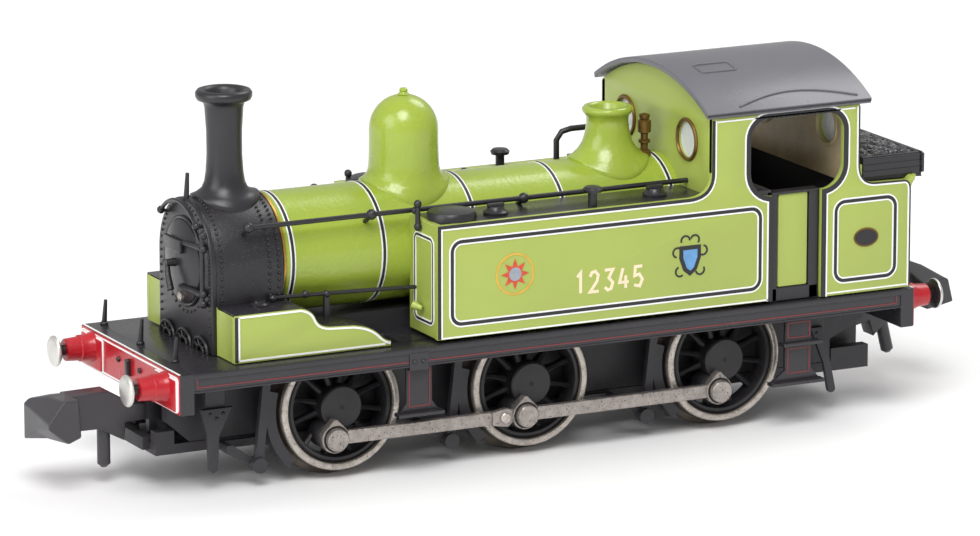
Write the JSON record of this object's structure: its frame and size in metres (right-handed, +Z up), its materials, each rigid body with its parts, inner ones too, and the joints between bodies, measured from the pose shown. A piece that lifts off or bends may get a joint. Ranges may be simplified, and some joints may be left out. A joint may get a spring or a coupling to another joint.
{
  "type": "model steam locomotive",
  "caption": "Small-scale side-tank steam locomotive model with driven spoked wheels, linked side rods and swinging, lifting hook couplers.",
  "frame": {"origin": "on the plane under the wheel flanges, at the centre of the overall length and width", "axes": "+X forward towards the chimney end, +Y to the engine's left, +Z up"},
  "size_m": [0.067, 0.016, 0.0252],
  "materials": {
    "tyre_steel": "turned steel tyre over a satin black spoked centre",
    "turned_steel": "turned steel",
    "rod_steel": "blackened cast steel, slightly pitted",
    "gear_plastic": "natural acetal",
    "motor_can": "zinc plated can",
    "brass": "turned brass",
    "frame_black": "satin black paint on a zinc casting",
    "footplate_black": "satin black",
    "beam_red": "signal red, satin",
    "buffer_steel": "turned bright steel",
    "coupler_black": "plain moulded black",
    "smokebox_black": "matt black with a fine texture",
    "boiler_green": "glossy apple green",
    "body_green": "satin apple green with black and white lining",
    "roof_grey": "dark grey, satin",
    "cab_beige": "cream-brown backhead",
    "coal": "moulded coal, half gloss black"
  },
  "bodies": {
    "root": {"worm_wheel_shaft": "turned_steel", "motor": "motor_can", "chassis_block": "frame_black", "keeper_plate": "frame_black", "front_keeper_screw": "turned_steel", "rear_keeper_screw": "turned_steel", "left_brake_gear": "frame_black", "right_brake_gear": "frame_black", "footplate": "footplate_black", "front_beam": "beam_red", "front_left_buffer": "buffer_steel", "front_right_buffer": "buffer_steel", "rear_beam": "beam_red", "rear_left_buffer": "buffer_steel", "rear_right_buffer": "buffer_steel", "smokebox": "smokebox_black", "smokebox_door": "smokebox_black", "boiler": "boiler_green", "chimney": "smokebox_black", "dome": "boiler_green", "safety_valve_bonnet": "boiler_green", "whistle": "brass", "left_handrail": "smokebox_black", "right_handrail": "smokebox_black", "left_tank": "body_green", "right_tank": "body_green", "left_sandbox": "body_green", "right_sandbox": "body_green", "cab_shell": "body_green", "cab_roof": "roof_grey", "backhead": "cab_beige", "bunker": "body_green", "coal_rails": "smokebox_black", "coal_load": "coal"},
    "middle_wheelset": {"middle_left_wheel": "tyre_steel", "middle_right_wheel": "tyre_steel", "middle_axle": "turned_steel", "middle_left_crank_pin": "turned_steel", "middle_right_crank_pin": "turned_steel", "axle_gear": "gear_plastic"},
    "front_wheelset": {"front_left_wheel": "tyre_steel", "front_right_wheel": "tyre_steel", "front_axle": "turned_steel", "front_left_crank_pin": "turned_steel", "front_right_crank_pin": "turned_steel"},
    "rear_wheelset": {"rear_left_wheel": "tyre_steel", "rear_right_wheel": "tyre_steel", "rear_axle": "turned_steel", "rear_left_crank_pin": "turned_steel", "rear_right_crank_pin": "turned_steel"},
    "left_rods": {"left_rear_rod": "rod_steel", "left_front_rod": "rod_steel"},
    "right_rods": {"right_rear_rod": "rod_steel", "right_front_rod": "rod_steel"},
    "idler_gear": {"worm_wheel": "gear_plastic"},
    "armature": {"worm_shaft": "brass"},
    "front_coupler_carrier": {"front_coupler_pocket": "coupler_black"},
    "front_coupler_hook": {"front_coupler": "coupler_black"},
    "rear_coupler_carrier": {"rear_coupler_pocket": "coupler_black"},
    "rear_coupler_hook": {"rear_coupler": "coupler_black"}
  },
  "joints": [
    {"name": "middle_wheels_spin", "type": "hinge", "parent": "root", "child": "middle_wheelset", "pos_m": [0.00077, 0, 0.00475], "axis": [0, 1, 0], "continuous": true},
    {"name": "front_wheels_spin", "type": "hinge", "parent": "root", "child": "front_wheelset", "pos_m": [0.0145, 0, 0.00475], "axis": [0, 1, 0], "continuous": true},
    {"name": "rear_wheels_spin", "type": "hinge", "parent": "root", "child": "rear_wheelset", "pos_m": [-0.01365, 0, 0.00475], "axis": [0, 1, 0], "continuous": true},
    {"name": "left_rods_turn", "type": "hinge", "parent": "middle_wheelset", "child": "left_rods", "pos_m": [0.00157, 0.0062, 0.00292], "axis": [0, 1, 0], "continuous": true},
    {"name": "right_rods_turn", "type": "hinge", "parent": "middle_wheelset", "child": "right_rods", "pos_m": [0.0026, -0.0062, 0.00555], "axis": [0, 1, 0], "continuous": true},
    {"name": "worm_wheel_spin", "type": "hinge", "parent": "root", "child": "idler_gear", "pos_m": [0.00077, 0, 0.01015], "axis": [0, 1, 0], "continuous": true},
    {"name": "armature_spin", "type": "hinge", "parent": "root", "child": "armature", "pos_m": [0.00077, 0, 0.01415], "axis": [1, 0, 0], "continuous": true},
    {"name": "front_coupler_swing", "type": "hinge", "parent": "root", "child": "front_coupler_carrier", "pos_m": [0.02467, 0, 0.00475], "axis": [0, 0, 1], "range_deg": [-15, 15], "stiffness_Nm_per_rad": 0.0001},
    {"name": "front_coupler_lift", "type": "hinge", "parent": "front_coupler_carrier", "child": "front_coupler_hook", "pos_m": [0.02467, 0, 0.00475], "axis": [0, -1, 0], "range_deg": [0, 14]},
    {"name": "rear_coupler_swing", "type": "hinge", "parent": "root", "child": "rear_coupler_carrier", "pos_m": [-0.02473, 0, 0.00475], "axis": [0, 0, 1], "range_deg": [-15, 15], "stiffness_Nm_per_rad": 0.0001},
    {"name": "rear_coupler_lift", "type": "hinge", "parent": "rear_coupler_carrier", "child": "rear_coupler_hook", "pos_m": [-0.02473, 0, 0.00475], "axis": [0, 1, 0], "range_deg": [-14, 0]}
  ],
  "couplings": [
    {"joint": "front_wheels_spin", "follows": "middle_wheels_spin", "ratio": 1},
    {"joint": "rear_wheels_spin", "follows": "middle_wheels_spin", "ratio": 1},
    {"joint": "left_rods_turn", "follows": "middle_wheels_spin", "ratio": -1},
    {"joint": "right_rods_turn", "follows": "middle_wheels_spin", "ratio": -1},
    {"joint": "worm_wheel_spin", "follows": "middle_wheels_spin", "ratio": -0.8},
    {"joint": "armature_spin", "follows": "middle_wheels_spin", "ratio": 16}
  ]
}
